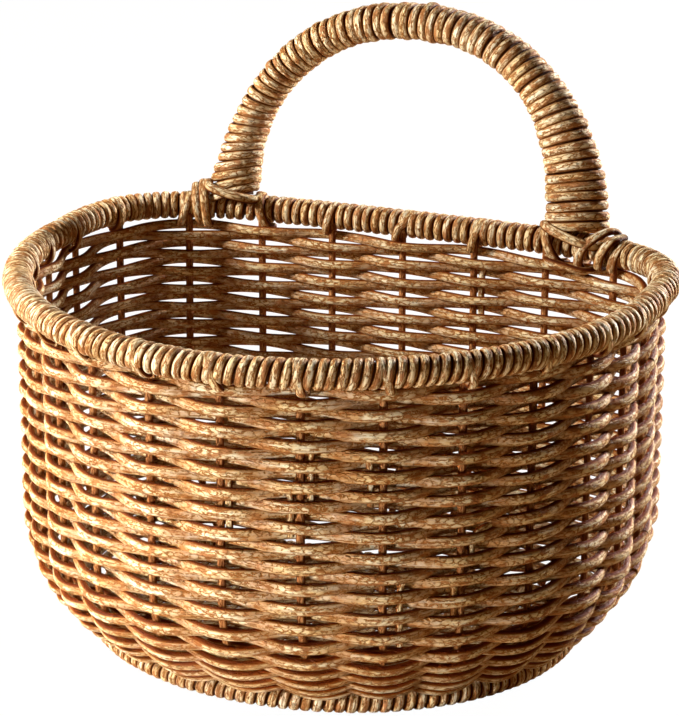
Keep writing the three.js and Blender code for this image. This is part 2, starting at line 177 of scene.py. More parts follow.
def fade(tree, value, low, high):
    inputs = {"Value": value, "From Min": low, "From Max": high}
    return add_node(tree, "ShaderNodeMapRange", inputs, clamp=True).outputs["Result"]


def stretched_noise(tree, grain, along, across, detail, roughness):
    scaled = combine(tree, "MULTIPLY", grain, (along, across, across))
    inputs = {"Vector": scaled, "Scale": 1.0, "Detail": detail, "Roughness": roughness}
    return add_node(tree, "ShaderNodeTexNoise", inputs).outputs["Fac"]


def blend_colours(tree, share, first, second):
    inputs = {0: share, 6: first, 7: second}
    return add_node(tree, "ShaderNodeMix", inputs, data_type="RGBA").outputs[2]


group_in = add_node(rattan_group, "NodeGroupInput").outputs
grain = group_in["Grain"]
across = add_node(rattan_group, "ShaderNodeSeparateXYZ", {0: grain}).outputs["Y"]
# Noises drawn out along the strand, from its broad tone down to fine specks of glaze.
tone = stretched_noise(rattan_group, grain, 24, 0.35, 3, 0.6)
streaks = stretched_noise(rattan_group, grain, 30, 2.2, 3, 0.6)
fibres = stretched_noise(rattan_group, grain, 70, 5.0, 2, 0.6)
blotches = stretched_noise(rattan_group, grain, 120, 0.9, 3, 0.55)
specks = stretched_noise(rattan_group, grain, 420, 1.9, 2, 0.5)
# Fine cracks in parts of the strand, each with a halo where the stain ran out of it.
crack_grain = combine(rattan_group, "MULTIPLY", grain, (190, 1.25, 1.25))
crack_warp = add_node(
    rattan_group, "ShaderNodeTexNoise", {"Vector": crack_grain, "Scale": 2.2, "Detail": 4.0}
).outputs["Color"]
crack_place = combine(rattan_group, "ADD", crack_grain, crack_warp)
crack_distance = add_node(
    rattan_group,
    "ShaderNodeTexVoronoi",
    {"Vector": crack_place, "Scale": 1.0},
    feature="DISTANCE_TO_EDGE",
).outputs["Distance"]
cracked_part = fade(rattan_group, streaks, 0.36, 0.52)
crack = minus(rattan_group, 1.0, fade(rattan_group, crack_distance, 0.03, 0.14))
crack_mask = times(rattan_group, crack, cracked_part)
halo = minus(rattan_group, 1.0, fade(rattan_group, crack_distance, 0.06, 0.3))
halo_mask = times(rattan_group, halo, cracked_part)
# Stain lies in the blotches, fibres and cracks, and the darker glaze in the specks and the cracks.
# Painted shade in the stain colour darkens a weaver between the stakes, and every strand's edges
# and lower side; painted shade in the glaze colour darkens the outermost edges.
side_share = calculate(rattan_group, "ABSOLUTE", across)
# Painted shade: both edges of the strand are darker, where it lies against its neighbours.
painted_edge_shade = times(rattan_group, fade(rattan_group, side_share, 0.5, 0.9), group_in["Edge Shade"])
more_stain = times(rattan_group, minus(rattan_group, group_in["Stain Amount"], 0.5), 0.12)
stain_in_blotches = fade(rattan_group, plus(rattan_group, blotches, more_stain), 0.52, 0.6)
stain_in_fibres = fade(rattan_group, fibres, 0.5, 0.62)
# Painted shade where a weaver passes between the stakes, broken up by the blotches.
sunk_shade_and_blotches = plus(rattan_group, group_in["Sunk Shade"], minus(rattan_group, blotches, 0.5))
painted_shade_where_sunk = fade(rattan_group, sunk_shade_and_blotches, 0.45, 1.0)
stain_and_shade = times(rattan_group, stain_in_blotches, 0.8)
for share in (
    times(rattan_group, stain_in_fibres, 0.28),
    times(rattan_group, crack_mask, 0.85),
    times(rattan_group, painted_shade_where_sunk, 0.62),
    # Painted shade: the strand's lower side is darker (for a wrap, one side of each turn).
    times(rattan_group, fade(rattan_group, across, 0.2, 0.9), 0.5),
    painted_edge_shade,
):
    stain_and_shade = calculate(rattan_group, "MAXIMUM", stain_and_shade, share)
glaze_in_specks = fade(rattan_group, plus(rattan_group, specks, more_stain), 0.59, 0.66)
# Painted shade in the glaze colour at the strand's outermost edges.
painted_outer_edge_shade = fade(rattan_group, side_share, 0.72, 0.98)
painted_shade_at_sides = times(rattan_group, painted_outer_edge_shade, group_in["Edge Shade"])
glaze_and_shade = times(rattan_group, glaze_in_specks, 0.45)
for share in (times(rattan_group, crack_mask, 0.3), painted_shade_at_sides):
    glaze_and_shade = calculate(rattan_group, "MAXIMUM", glaze_and_shade, share)
# The bare cane goes from pale to honey, which also rings each patch of stain; painted shade
# turns it honey along the strand's sides as well.
pale = group_in["Pale"]
honey = group_in["Honey"]
honey_tone = times(rattan_group, fade(rattan_group, tone, 0.42, 0.6), 0.45)
base_colour = blend_colours(rattan_group, honey_tone, pale, honey)
around_stain = fade(rattan_group, plus(rattan_group, blotches, more_stain), 0.43, 0.55)
honey_around_stain_and_sides = times(rattan_group, around_stain, 0.55)
for share in (
    times(rattan_group, fade(rattan_group, streaks, 0.44, 0.58), 0.35),
    times(rattan_group, halo_mask, 0.85),
    # Painted shade: honey along the strand's sides.
    fade(rattan_group, side_share, 0.5, 0.85),
):
    honey_around_stain_and_sides = calculate(rattan_group, "MAXIMUM", honey_around_stain_and_sides, share)
base_colour = blend_colours(rattan_group, honey_around_stain_and_sides, base_colour, honey)
# The stain and glaze colours lay down both the real stain and the painted shade.
colour = blend_colours(rattan_group, stain_and_shade, base_colour, group_in["Stain"])
colour = blend_colours(rattan_group, glaze_and_shade, colour, group_in["Glaze"])
roughness = plus(rattan_group, 0.46, times(rattan_group, stain_in_blotches, 0.15))
height = times(rattan_group, fibres, -0.6)
height = minus(rattan_group, height, times(rattan_group, crack_mask, 0.8))
height = plus(rattan_group, height, times(rattan_group, blotches, 0.9))
group_out = {"Color": colour, "Roughness": roughness, "Height": height}
add_node(rattan_group, "NodeGroupOutput", group_out)


def rattan_material(name, pale, honey, stain_and_shade, glaze_and_shade, stain_amount, edge_shade):
    material = bpy.data.materials.new(name)
    material.use_nodes = True
    tree = material.node_tree
    shader = tree.nodes["Principled BSDF"]
    grain_place = add_node(tree, "ShaderNodeAttribute", attribute_name="grain").outputs["Vector"]
    # The share of painted shade where a weaver passes between the stakes.
    sunk_shade = add_node(tree, "ShaderNodeAttribute", attribute_name="sunk_shade").outputs["Fac"]
    inputs = {
        "Grain": grain_place,
        "Sunk Shade": sunk_shade,
        "Pale": (*pale, 1),
        "Honey": (*honey, 1),
        "Stain": (*stain_and_shade, 1),
        "Glaze": (*glaze_and_shade, 1),
        "Stain Amount": stain_amount,
        # How strongly painted shade darkens the strand's edges.
        "Edge Shade": edge_shade,
    }
    rattan = add_node(tree, "ShaderNodeGroup", inputs, node_tree=rattan_group)
    relief = {"Strength": 0.85, "Distance": 0.001, "Height": rattan.outputs["Height"]}
    bump = add_node(tree, "ShaderNodeBump", relief)
    tree.links.new(rattan.outputs["Color"], shader.inputs["Base Color"])
    tree.links.new(rattan.outputs["Roughness"], shader.inputs["Roughness"])
    tree.links.new(bump.outputs["Normal"], shader.inputs["Normal"])
    shader.inputs["Specular IOR Level"].default_value = 0.07
    shader.inputs["Coat Weight"].default_value = 0.03
    shader.inputs["Coat Roughness"].default_value = 0.3
    return material


# Core rods. The hoops and the handle's core are thick rattan rods, all but hidden under their
# wraps. They are the model's own solids, with a dark stained finish.
core_material = bpy.data.materials.new("core_rattan")
core_material.use_nodes = True
core_tree = core_material.node_tree
core_shader = core_tree.nodes["Principled BSDF"]
core_place = add_node(core_tree, "ShaderNodeTexCoord").outputs["Object"]
core_noise = add_node(
    core_tree, "ShaderNodeTexNoise", {"Vector": core_place, "Scale": 160.0, "Detail": 4.0}
).outputs["Fac"]
core_colour = blend_colours(core_tree, core_noise, (0.2, 0.075, 0.025, 1), (0.09, 0.028, 0.01, 1))
core_bump = add_node(
    core_tree, "ShaderNodeBump", {"Strength": 0.4, "Distance": 0.0005, "Height": core_noise}
)
core_tree.links.new(core_colour, core_shader.inputs["Base Color"])
core_tree.links.new(core_bump.outputs["Normal"], core_shader.inputs["Normal"])
core_shader.inputs["Roughness"].default_value = 0.55
for name in ("rim_hoop", "foot_hoop", "handle_core"):
    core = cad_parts[name]
    core.data.materials.clear()
    core.data.materials.append(core_material)

# Laid cane. One tree lays a rounded strand along a guide: all strands of the basket are made by it,
# after each kind's own tree has bent the guide to its path.


def new_tree(name, inputs):
    tree = bpy.data.node_groups.new(name, "GeometryNodeTree")
    tree.interface.new_socket("Geometry", in_out="INPUT", socket_type="NodeSocketGeometry")
    for label, kind, value in inputs:
        socket = tree.interface.new_socket(label, in_out="INPUT", socket_type="NodeSocket" + kind)
        if value is not None:
            socket.default_value = value
    tree.interface.new_socket("Geometry", in_out="OUTPUT", socket_type="NodeSocketGeometry")
    return tree, add_node(tree, "NodeGroupInput").outputs, add_node(tree, "NodeGroupOutput").inputs


def read_attribute(tree, name, data_type="FLOAT"):
    node = add_node(tree, "GeometryNodeInputNamedAttribute", {"Name": name}, data_type=data_type)
    return node.outputs["Attribute"]


def store_attribute(tree, geometry, name, value, data_type="FLOAT"):
    inputs = {"Geometry": geometry, "Name": name, "Value": value}
    node = add_node(tree, "GeometryNodeStoreNamedAttribute", inputs, data_type=data_type)
    return node.outputs["Geometry"]


def lengthen(tree, vector, factor):
    node = add_node(tree, "ShaderNodeVectorMath", {0: vector, "Scale": factor}, operation="SCALE")
    return node.outputs[0]


laid_cane, laid_in, laid_out = new_tree(
    "laid cane",
    (
        ("Width", "Float", 0.006),
        ("Thickness", "Float", 0.004),
        ("Sides", "Int", 10),
        ("Squareness", "Float", 0.25),
        ("Material", "Material", None),
    ),
)
tangent = add_node(laid_cane, "GeometryNodeInputTangent").outputs["Tangent"]
wanted = read_attribute(laid_cane, "outward", "FLOAT_VECTOR")
along_part = combine(laid_cane, "PROJECT", wanted, tangent)
square_on = combine(laid_cane, "NORMALIZE", combine(laid_cane, "SUBTRACT", wanted, along_part))
turned = add_node(
    laid_cane,
    "GeometryNodeSetCurveNormal",
    {"Curve": laid_in["Geometry"], "Normal": square_on},
    mode="FREE",
).outputs["Curve"]
length_so_far = add_node(laid_cane, "GeometryNodeSplineParameter").outputs["Length"]
grain_along = plus(laid_cane, length_so_far, read_attribute(laid_cane, "start"))
marked = store_attribute(laid_cane, turned, "grain_along", grain_along)
circle = add_node(
    laid_cane, "GeometryNodeCurvePrimitiveCircle", {"Resolution": laid_in["Sides"], "Radius": 1.0}
)
place = add_node(laid_cane, "GeometryNodeInputPosition").outputs["Position"]
marked_circle = store_attribute(laid_cane, circle.outputs["Curve"], "around", place, "FLOAT_VECTOR")
axes = add_node(laid_cane, "ShaderNodeSeparateXYZ", {0: place}).outputs
corner = calculate(laid_cane, "ABSOLUTE", times(laid_cane, axes[0], axes[1]))
fullness = plus(laid_cane, 1.0, times(laid_cane, laid_in["Squareness"], corner))
half_width = times(laid_cane, laid_in["Width"], 0.5)
half_thickness = times(laid_cane, laid_in["Thickness"], 0.5)
section_size = add_node(laid_cane, "ShaderNodeCombineXYZ", {0: half_thickness, 1: half_width})
section_place = combine(laid_cane, "MULTIPLY", place, section_size.outputs[0])
section_place = lengthen(laid_cane, section_place, fullness)
section_curve = add_node(
    laid_cane, "GeometryNodeSetPosition", {"Geometry": marked_circle, "Position": section_place}
).outputs["Geometry"]
swept = add_node(
    laid_cane,
    "GeometryNodeCurveToMesh",
    {
        "Curve": marked,
        "Profile Curve": section_curve,
        "Scale": read_attribute(laid_cane, "size"),
        "Fill Caps": True,
    },
).outputs["Mesh"]
around = add_node(
    laid_cane, "ShaderNodeSeparateXYZ", {0: read_attribute(laid_cane, "around", "FLOAT_VECTOR")}
).outputs
grain_vector = add_node(
    laid_cane,
    "ShaderNodeCombineXYZ",
    {0: read_attribute(laid_cane, "grain_along"), 1: around[1], 2: around[0]},
).outputs[0]
grained = store_attribute(laid_cane, swept, "grain", grain_vector, "FLOAT_VECTOR")
smooth = add_node(
    laid_cane, "GeometryNodeSetShadeSmooth", {"Geometry": grained}
).outputs["Geometry"]
realized = add_node(
    laid_cane, "GeometryNodeRealizeInstances", {"Geometry": smooth}
).outputs["Geometry"]
finished = add_node(
    laid_cane, "GeometryNodeSetMaterial", {"Geometry": realized, "Material": laid_in["Material"]}
).outputs["Geometry"]
laid_cane.links.new(finished, laid_out["Geometry"])


def lay_cane(tree, tree_in, tree_out, path, own=None):
    """Ends a tree with a strand laid along its path, by its inputs of the same names."""
    inputs = {"Geometry": path}
    for label in ("Width", "Thickness", "Sides", "Squareness", "Material"):
        if label in tree_in:
            inputs[label] = tree_in[label]
    inputs.update(own or {})
    laid = add_node(tree, "GeometryNodeGroup", inputs, node_tree=laid_cane)
    tree.links.new(laid.outputs["Geometry"], tree_out["Geometry"])


def guide_curve(tree, tree_in):
    inputs = {"Mesh": tree_in["Geometry"]}
    return add_node(tree, "GeometryNodeMeshToCurve", inputs).outputs["Curve"]


rod_tree, rod_in, rod_out = new_tree(
    "single rod",
    (
        ("Width", "Float", 0.0035),
        ("Thickness", "Float", 0.0035),
        ("Sides", "Int", 12),
        ("Squareness", "Float", 0.0),
        ("Material", "Material", None),
    ),
)
lay_cane(rod_tree, rod_in, rod_out, guide_curve(rod_tree, rod_in))


def guide_line(points, **values):
    line = {"points": np.asarray(points, dtype=float), "size": 1.0, "start": 0.0}
    line.update(values)
    return line


def guide_mesh(name, lines):
    """A mesh of plain lines, with each line's values stored at its points."""
    points = np.concatenate([line["points"] for line in lines])
    edges = []
    first = 0
    for line in lines:
        count = len(line["points"])
        edges += [(first + i, first + i + 1) for i in range(count - 1)]
        first += count
    mesh = bpy.data.meshes.new(name)
    mesh.from_pydata(points.tolist(), edges, [])
    for label in lines[0]:
        if label == "points":
            continue
        columns = []
        for line in lines:
            value = np.asarray(line[label], dtype=float)
            count = len(line["points"])
            is_vector = value.ndim > 0 and value.shape[-1] == 3
            columns.append(np.broadcast_to(value, (count, 3) if is_vector else (count,)))
        stacked = np.concatenate(columns)
        if stacked.ndim == 2:
            layer = mesh.attributes.new(label, "FLOAT_VECTOR", "POINT")
            layer.data.foreach_set("vector", stacked.ravel())
        else:
            layer = mesh.attributes.new(label, "FLOAT", "POINT")
            layer.data.foreach_set("value", stacked)
    return mesh


def make_piece(name, lines, tree, settings, material):
    """Runs a tree on the guide lines and keeps the result as a plain mesh."""
    guide = bpy.data.objects.new(name, guide_mesh(name + "_guide", lines))
    bpy.context.scene.collection.objects.link(guide)
    modifier = guide.modifiers.new("cane", "NODES")
    modifier.node_group = tree
    values = {**settings, "Material": material}
    for item in tree.interface.items_tree:
        if item.item_type == "SOCKET" and item.in_out == "INPUT" and item.name in values:
            modifier[item.identifier] = values[item.name]
    bpy.context.view_layer.update()
    evaluated = guide.evaluated_get(bpy.context.evaluated_depsgraph_get())
    mesh = bpy.data.meshes.new_from_object(evaluated)
    old = guide.data
    guide.modifiers.clear()
    guide.data = mesh
    mesh.name = name
    bpy.data.meshes.remove(old)
    return guide


# Outline of the basket seen from above: half an ellipse-like curve in front and a squarer one
# behind. Each hoop, course and stake follows it.
plan_middle = 0.0232


def outline(half_width, front, back, front_power, back_power):
    return np.array([half_width, front, back, front_power, back_power])


def outline_point(shape, turn, height=0.0):
    half_width, front, back, front_power, back_power = shape
    cos = np.cos(turn)
    sin = np.sin(turn)
    power = np.where(sin < 0, front_power, back_power)
    depth = np.where(sin < 0, front, back)
    return np.stack(
        [
            half_width * np.sign(cos) * np.abs(cos) ** (2 / power),
            plan_middle + depth * np.sign(sin) * np.abs(sin) ** (2 / power),
            np.broadcast_to(height, np.shape(turn)).astype(float),
        ],
        axis=-1,
    )


def turns_at(shape, distances):
    """The turn at each distance along the outline, and the outline's length."""
    turn = np.linspace(0, 2 * np.pi, 4801)
    steps = np.linalg.norm(np.diff(outline_point(shape, turn), axis=0), axis=1)
    lengths = np.concatenate([[0], np.cumsum(steps)])
    whole = np.floor(np.asarray(distances) / lengths[-1])
    rest = distances - whole * lengths[-1]
    return np.interp(rest, lengths, turn) + whole * 2 * np.pi, lengths[-1]


def distance_at(shape, turn):
    """The distance along the outline at a turn."""
    turns = np.linspace(0, turn, 2401)
    return float(np.linalg.norm(np.diff(outline_point(shape, turns), axis=0), axis=1).sum())


def outward_at(shape, turn):
    along = outline_point(shape, turn + 1e-4) - outline_point(shape, turn - 1e-4)
    out = np.stack([along[:, 1], -along[:, 0], np.zeros(len(along))], axis=-1)
    return out / np.linalg.norm(out, axis=1, keepdims=True)


# Foot hoop. A thin rod bent to the outline of the floor and wound with cane: the basket stands on
# the undersides of its turns.
wrap_cane = rattan_material(
    "wrap_cane",
    (0.98, 0.93, 0.74),
    (0.88, 0.58, 0.19),
    (0.38, 0.09, 0.001),
    (0.06, 0.005, 0.0005),
    0.62,
    0.95,
)
wound_cane, wound_in, wound_out = new_tree(
    "wound cane",
    (
        ("Turns", "Int", 10),
        ("Steps", "Int", 16),
        ("Width", "Float", 0.0055),
        ("Thickness", "Float", 0.003),
        ("Slant", "Float", 0.0),
        ("Looseness", "Float", 0.0004),
        ("Seed", "Int", 1),
        ("Sides", "Int", 10),
        ("Material", "Material", None),
    ),
)
path = guide_curve(wound_cane, wound_in)
point_count = times(wound_cane, wound_in["Turns"], wound_in["Steps"])
path = add_node(
    wound_cane, "GeometryNodeResampleCurve", {"Curve": path, "Count": point_count}, mode="COUNT"
).outputs["Curve"]
share = add_node(wound_cane, "GeometryNodeSplineParameter").outputs["Factor"]
turn_number = times(wound_cane, share, wound_in["Turns"])
angle = times(wound_cane, turn_number, 2 * math.pi)
cos = calculate(wound_cane, "COSINE", angle)
sin = calculate(wound_cane, "SINE", angle)


def wander(tree, along, seed, offset, amount):
    """Smooth random play around zero, that changes about once a turn."""
    place = add_node(tree, "ShaderNodeCombineXYZ", {0: along, 1: offset}).outputs[0]
    inputs = {"Vector": place, "W": seed, "Scale": 0.9, "Detail": 1.0}
    noise = add_node(tree, "ShaderNodeTexNoise", inputs, noise_dimensions="4D").outputs["Fac"]
    return times(tree, times(tree, minus(tree, noise, 0.5), 4.0), amount)


def shift(tree, geometry, offset):
    inputs = {"Geometry": geometry, "Offset": offset}
    return add_node(tree, "GeometryNodeSetPosition", inputs).outputs["Geometry"]


tangent = add_node(wound_cane, "GeometryNodeInputTangent").outputs["Tangent"]
outward = read_attribute(wound_cane, "outward", "FLOAT_VECTOR")
sideways = combine(wound_cane, "NORMALIZE", combine(wound_cane, "CROSS_PRODUCT", outward, tangent))
radial = combine(
    wound_cane, "ADD", lengthen(wound_cane, outward, cos), lengthen(wound_cane, sideways, sin)
)
radial = combine(wound_cane, "NORMALIZE", radial)
half_cane = times(wound_cane, wound_in["Thickness"], 0.5)
out_looseness = times(wound_cane, wound_in["Looseness"], 0.6)
out_play = wander(wound_cane, turn_number, wound_in["Seed"], 3.7, out_looseness)
out_reach = plus(wound_cane, read_attribute(wound_cane, "out_reach"), half_cane)
out_reach = plus(wound_cane, out_reach, out_play)
side_reach = plus(wound_cane, read_attribute(wound_cane, "side_reach"), half_cane)
along_play = wander(wound_cane, turn_number, wound_in["Seed"], 9.1, wound_in["Looseness"])
slide = plus(wound_cane, times(wound_cane, wound_in["Slant"], sin), along_play)
slide = minus(wound_cane, slide, times(wound_cane, read_attribute(wound_cane, "tilt"), cos))
offset = combine(
    wound_cane,
    "ADD",
    lengthen(wound_cane, outward, times(wound_cane, out_reach, cos)),
    lengthen(wound_cane, sideways, times(wound_cane, side_reach, sin)),
)
offset = combine(wound_cane, "ADD", offset, lengthen(wound_cane, tangent, slide))
captured = add_node(wound_cane, "GeometryNodeCaptureAttribute", {"Geometry": path}, domain="POINT")
captured.capture_items.new("VECTOR", "radial")
captured.capture_items.new("VECTOR", "offset")
wound_cane.links.new(radial, captured.inputs[1])
wound_cane.links.new(offset, captured.inputs[2])
helix = shift(wound_cane, captured.outputs["Geometry"], captured.outputs[2])
helix = store_attribute(wound_cane, helix, "outward", captured.outputs[1], "FLOAT_VECTOR")
size_play = wander(wound_cane, turn_number, wound_in["Seed"], 5.3, 0.1)
helix = store_attribute(wound_cane, helix, "size", plus(wound_cane, 1.0, size_play))
lay_cane(wound_cane, wound_in, wound_out, helix, {"Squareness": 0.05})


def hoop_guide(shape, height, begin, length, out_reach, side_reach):
    """A guide along an outline, from one distance to another."""
    point_spacing = 0.0025
    count = max(int(length / point_spacing), 4)
    turn, _ = turns_at(shape, begin + np.linspace(0, length, count))
    return guide_line(
        outline_point(shape, turn, height),
        outward=outward_at(shape, turn),
        out_reach=out_reach,
        side_reach=side_reach,
        tilt=0.0,
    )


foot_shape = outline(0.148, 0.1355, 0.074, 2.05, 3.3)
foot_length = turns_at(foot_shape, 0)[1]
foot_height = 0.00645
foot_rod = 0.0029
# The winding's ends meet at the back.
foot_guide = hoop_guide(
    foot_shape, foot_height, 0.25 * foot_length, foot_length - 0.002, foot_rod, foot_rod
)
foot_cane = make_piece(
    "foot_cane",
    [foot_guide],
    wound_cane,
    {"Turns": 127, "Width": 0.006, "Thickness": 0.0034, "Looseness": 0.0003, "Seed": 4},
    wrap_cane,
)
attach(foot_cane, "root")
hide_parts("foot_wrap")

# Wall surface. It hangs just inside the rim, goes straight down and curves in to the foot. The
# stakes stand in it, closer together in front than across the back.
wall_top = outline(0.186, 0.1835, 0.1095, 1.93, 3.8)
wall_foot = outline(0.1535, 0.141, 0.0795, 2.05, 3.3)
rim_shape = outline(0.1915, 0.189, 0.115, 1.93, 3.8)
rim_length = turns_at(rim_shape, 0)[1]
rim_height = 0.223
straight_drop = 0.142
curve_turn = 0.8
curve_width = 0.030
curve_fall = 0.064
curve_angles = np.linspace(0, curve_turn, 400)
curve_inward = curve_width * (1 - np.cos(curve_angles)) / (1 - math.cos(curve_turn))
curve_down = curve_fall * np.sin(curve_angles) / math.sin(curve_turn)
curve_lengths = np.concatenate(
    [[0], np.cumsum(np.hypot(np.diff(curve_inward), np.diff(curve_down)))]
)
wall_drop = straight_drop + curve_lengths[-1]


def wall_point(turn, drop):
    turn, drop = np.broadcast_arrays(turn, drop)
    angle = np.interp(drop - straight_drop, curve_lengths, curve_angles)
    share = (1 - np.cos(angle)) / (1 - math.cos(curve_turn))
    shape = wall_top[:, None] + (wall_foot - wall_top)[:, None] * share
    fall = curve_fall * np.sin(angle) / math.sin(curve_turn)
    height = rim_height - np.minimum(drop, straight_drop) - fall
    return outline_point(shape, turn, height)


def unit(vectors):
    return vectors / np.linalg.norm(vectors, axis=-1, keepdims=True)


def wall_frame(turn, drop):
    """The wall's point with its directions along, out of and up the wall."""
    along = unit(wall_point(turn + 1e-4, drop) - wall_point(turn - 1e-4, drop))
    up = unit(wall_point(turn, drop - 5e-5) - wall_point(turn, drop + 5e-5))
    return wall_point(turn, drop), along, unit(np.cross(along, up)), up


back_space = 0.0495
front_space = 0.0465
first_stake = distance_at(rim_shape, math.pi / 2) - 5 * back_space
front_stakes_middle = distance_at(rim_shape, math.pi * 1.5) + 0.078
first_front_stake = front_stakes_middle - 3.5 * front_space
stake_count = 25
stake_marks = (0, 10, 16, 23, stake_count)
stake_distances = (
    first_stake,
    first_stake + 10 * back_space,
    first_front_stake,
    first_front_stake + 7 * front_space,
    first_stake + rim_length,
)


def stake_turns(places):
    """The turn at each stake's number, and at places between stakes, round after round."""
    around, place = np.divmod(np.asarray(places, dtype=float), stake_count)
    distance = np.interp(place, stake_marks, stake_distances)
    return turns_at(rim_shape, distance + around * rim_length)[0]


# Stakes. The uprights are plain rods of red-brown rattan, that come up from the foot hoop and
# end between the rim's turns. The weaving holds them.
stake_rattan = rattan_material(
    "stake_rattan",
    (0.62, 0.31, 0.12),
    (0.42, 0.16, 0.045),
    (0.25, 0.065, 0.014),
    (0.09, 0.015, 0.003),
    0.5,
    0.3,
)
stake_width = 0.0049
stake_thickness = 0.0038
foot_seat_height = 0.0061
foot_seat_reach = 0.0066
for number in range(stake_count):
    chance = np.random.default_rng(100 + number)
    drop = np.linspace(0.0035, wall_drop, 60)
    turn = float(stake_turns(number))
    points, along, out, up = wall_frame(np.full(len(drop), turn), drop)
    sway = chance.normal(0, 0.0004, 2)
    points = points + along * np.interp(drop, [0, 0.11, wall_drop], [0, sway[0], sway[1]])[:, None]
    # The lower end stands on the outside of the foot hoop.
    foot_middle = outline_point(foot_shape, np.array([turn]), foot_seat_height)[0]
    toward = unit(points[-1] - foot_middle)
    points = np.concatenate([points, [foot_middle + toward * foot_seat_reach]])
    stake_line = guide_line(
        points,
        outward=np.concatenate([out, out[-1:]]),
        start=number * 1.37,
        size=chance.uniform(0.96, 1.06),
    )
    name = f"stake_{number + 1:02d}"
    stake = make_piece(
        "rattan_" + name,
        [stake_line],
        rod_tree,
        {"Width": stake_width, "Thickness": stake_thickness},
        stake_rattan,
    )
    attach(stake, "root")
    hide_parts(name)

# Weavers. Round peeled rattan is woven over one stake and under the next. The stakes are odd in
# number, so that a weaver passes the other side of each one round later: a course is a strand that
# goes round in the upper row and then in the lower one. The last courses, at the foot, are tight.
weaver_rattan = rattan_material(
    "weaver_rattan",
    (0.93, 0.88, 0.69),
    (0.8, 0.53, 0.16),
    (0.36, 0.085, 0.001),
    (0.13, 0.014, 0.001),
    0.5,
    0.95,
)
woven_wall, woven_wall_in, woven_wall_out = new_tree(
    "woven weavers",
    (
        ("Reach", "Float", 0.0046),
        ("Lift", "Float", 0.0028),
        ("Height", "Float", 0.0061),
        ("Thickness", "Float", 0.0056),
        ("Wobble", "Float", 0.0008),
        ("Squeeze", "Float", -0.03),
        ("Seed", "Int", 1),
        ("Sides", "Int", 12),
        ("Material", "Material", None),
    ),
)
weaver_path = guide_curve(woven_wall, woven_wall_in)
bay = read_attribute(woven_wall, "bay")
bay_angle = times(woven_wall, bay, math.pi)
in_front = calculate(woven_wall, "COSINE", bay_angle)
between = calculate(woven_wall, "ABSOLUTE", calculate(woven_wall, "SINE", bay_angle))
out_by = times(woven_wall, in_front, woven_wall_in["Reach"])
row_lift = times(woven_wall, read_attribute(woven_wall, "row"), woven_wall_in["Lift"])
up_play = wander(woven_wall, bay, woven_wall_in["Seed"], 2.3, woven_wall_in["Wobble"])
up_by = plus(woven_wall, row_lift, up_play)
weaver_offset = combine(
    woven_wall,
    "ADD",
    lengthen(woven_wall, read_attribute(woven_wall, "outward", "FLOAT_VECTOR"), out_by),
    lengthen(woven_wall, read_attribute(woven_wall, "upward", "FLOAT_VECTOR"), up_by),
)
weaver_size = plus(woven_wall, 1.0, wander(woven_wall, bay, woven_wall_in["Seed"], 7.9, 0.11))
squeezed = times(woven_wall, between, woven_wall_in["Squeeze"])
weaver_size = minus(woven_wall, weaver_size, squeezed)
weaver_size = times(woven_wall, weaver_size, read_attribute(woven_wall, "stoutness"))
weaver_path = store_attribute(woven_wall, weaver_path, "size", weaver_size)
# Painted shade where the weaver passes between the stakes, darkest halfway between them.
weaver_path = store_attribute(woven_wall, weaver_path, "sunk_shade", between)
weaver_path = shift(woven_wall, weaver_path, weaver_offset)
own = {"Width": woven_wall_in["Height"], "Squareness": 0.12}
lay_cane(woven_wall, woven_wall_in, woven_wall_out, weaver_path, own)

open_courses = 14
open_row = 0.00565
open_weaver = 0.00535
tight_row = 0.0049
tight_weaver = 0.0046
open_height = 0.007
tight_height = 0.0058
rim_underside = 0.0088
foot_seat = 0.0003
first_drop = rim_underside + open_weaver * 2 / 3 + open_row / 2
last_drop = wall_drop - foot_seat - tight_weaver / 3 - tight_row / 2
open_end = last_drop - 3 * 2 * tight_row - (open_row + tight_row)
course_drops = np.concatenate(
    [
        np.linspace(first_drop, open_end, open_courses),
        last_drop - 2 * tight_row * np.arange(3, -1, -1),
    ]
)
places = np.linspace(0, 2 * stake_count, 2 * stake_count * 12 + 1)
row_of_place = np.clip(np.minimum(places, stake_count - places) * 2, -1, 1)
row_of_place = np.where(
    places > stake_count,
    -np.clip(np.minimum(places - stake_count, 2 * stake_count - places) * 2, -1, 1),
    row_of_place,
)
# The weaver is thinner across the back and the sides, where it leaves a gap at each stake.
stoutness = np.interp(
    places % stake_count, (0, 1, 9, 12, 15, 18, 22, 25), (0.9, 0.88, 0.88, 0.87, 0.88, 1, 1, 0.9)
)
for number, drop in enumerate(course_drops):
    tight = number >= open_courses
    points, along, out, up = wall_frame(stake_turns(places), np.full(len(places), drop))
    weaver_line = guide_line(
        points,
        outward=out,
        upward=up,
        bay=places,
        row=row_of_place,
        stoutness=stoutness,
        start=number * 2.71,
    )
    name = f"course_{number + 1:02d}"
    weaver = make_piece(
        "weavers_" + name,
        [weaver_line],
        woven_wall,
        {
            "Lift": tight_row / 2 if tight else open_row / 2,
            "Height": tight_height if tight else open_height,
            "Seed": 20 + number,
        },
        weaver_rattan,
    )
    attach(weaver, "root")
    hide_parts(name)

